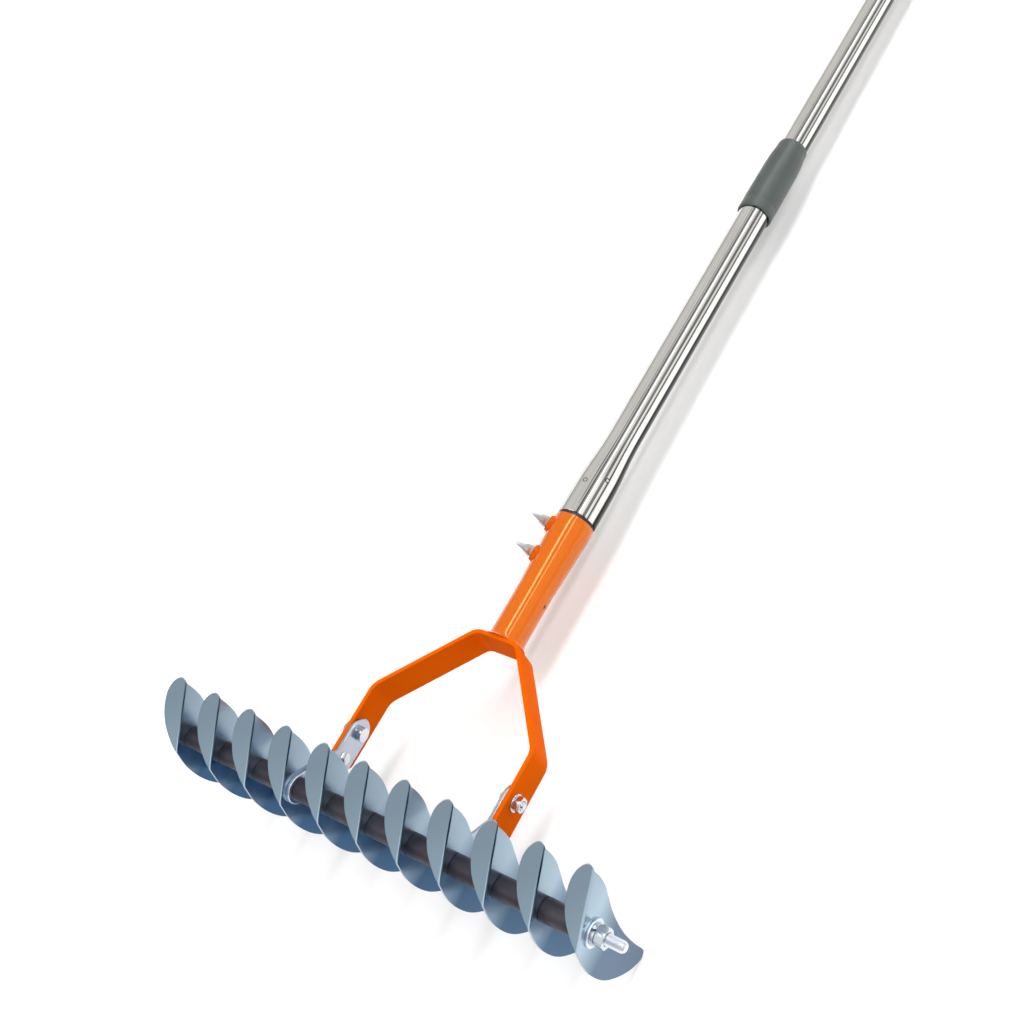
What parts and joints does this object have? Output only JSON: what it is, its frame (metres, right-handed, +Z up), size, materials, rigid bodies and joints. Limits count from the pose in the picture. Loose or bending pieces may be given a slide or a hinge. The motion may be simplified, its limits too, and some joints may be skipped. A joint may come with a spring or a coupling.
{
  "type": "thatch rake",
  "caption": "Lawn thatch rake: crescent steel blades on a cross rod, tilting strap bow and brackets, socket with wing screws, telescopic tube handle.",
  "frame": {"origin": "centre of the bounding box's base; the rake lies on the blades' short tips and the end of its handle", "axes": "+X along the cross rod, +Y from the head towards the grip, +Z up, towards the blades' long tips"},
  "size_m": [0.3926, 1.459, 0.128],
  "materials": {
    "zinc_sheet": "bright zinc plated",
    "zinc_hardware": "bright zinc plated",
    "spacer": "dark plated tube",
    "orange_paint": "gloss powder coat",
    "polished_tube": "polished stainless",
    "collar": "matt moulded",
    "inner_plastic": "matt moulded",
    "grip": "matt ribbed"
  },
  "bodies": {
    "frame": {"bow_strap": "orange_paint", "socket_tube": "orange_paint", "lower_weld_nut": "orange_paint", "upper_weld_nut": "orange_paint", "lower_tube": "polished_tube", "clamp_sleeve": "inner_plastic", "left_pivot_bolt": "zinc_hardware", "left_pivot_washer": "zinc_hardware", "left_pivot_nut": "zinc_hardware", "right_pivot_bolt": "zinc_hardware", "right_pivot_washer": "zinc_hardware", "right_pivot_nut": "zinc_hardware"},
    "head": {"blade_01": "zinc_sheet", "blade_02": "zinc_sheet", "blade_03": "zinc_sheet", "blade_04": "zinc_sheet", "blade_05": "zinc_sheet", "blade_06": "zinc_sheet", "blade_07": "zinc_sheet", "blade_08": "zinc_sheet", "blade_09": "zinc_sheet", "blade_10": "zinc_sheet", "blade_11": "zinc_sheet", "head_rod": "zinc_hardware", "spacer_tube_01": "spacer", "spacer_tube_02": "spacer", "spacer_tube_03": "spacer", "spacer_tube_04": "spacer", "spacer_tube_05": "spacer", "spacer_tube_06": "spacer", "spacer_tube_07": "spacer", "spacer_tube_08": "spacer", "spacer_tube_09": "spacer", "spacer_tube_10": "spacer", "left_rod_washer": "zinc_hardware", "left_spring_washer": "zinc_hardware", "left_hex_nut": "zinc_hardware", "left_bracket": "zinc_hardware", "left_bracket_rivet": "zinc_hardware", "right_rod_washer": "zinc_hardware", "right_spring_washer": "zinc_hardware", "right_hex_nut": "zinc_hardware", "right_bracket": "zinc_hardware", "right_bracket_rivet": "zinc_hardware"},
    "collar_body": {"collar": "collar"},
    "upper_handle": {"upper_tube": "polished_tube", "upper_tube_plug": "inner_plastic", "hand_grip": "grip", "end_cap": "grip"},
    "lower_screw": {"lower_wing_screw": "zinc_hardware"},
    "upper_screw": {"upper_wing_screw": "zinc_hardware"}
  },
  "joints": [
    {"name": "head_tilt", "type": "hinge", "parent": "frame", "child": "head", "pos_m": [0, -0.65301, 0.05864], "axis": [1, 0, 0], "range_deg": [-40, 40]},
    {"name": "handle_telescope", "type": "slide", "parent": "frame", "child": "upper_handle", "axis": [0, 0.9996, -0.0299], "range_m": [-0.24, 0]},
    {"name": "collar_twist", "type": "hinge", "parent": "frame", "child": "collar_body", "pos_m": [0, -0.09435, 0.03892], "axis": [0, 0.9996, -0.0299], "range_deg": [0, 120]},
    {"name": "lower_screw_turn", "type": "hinge", "parent": "frame", "child": "lower_screw", "pos_m": [-0.01966, -0.48077, 0.06426], "axis": [-0.8192, 0.0172, 0.5733], "range_deg": [-180, 180]},
    {"name": "upper_screw_turn", "type": "hinge", "parent": "frame", "child": "upper_screw", "pos_m": [-0.01966, -0.45478, 0.06348], "axis": [-0.8192, 0.0172, 0.5733], "range_deg": [-180, 180]}
  ]
}
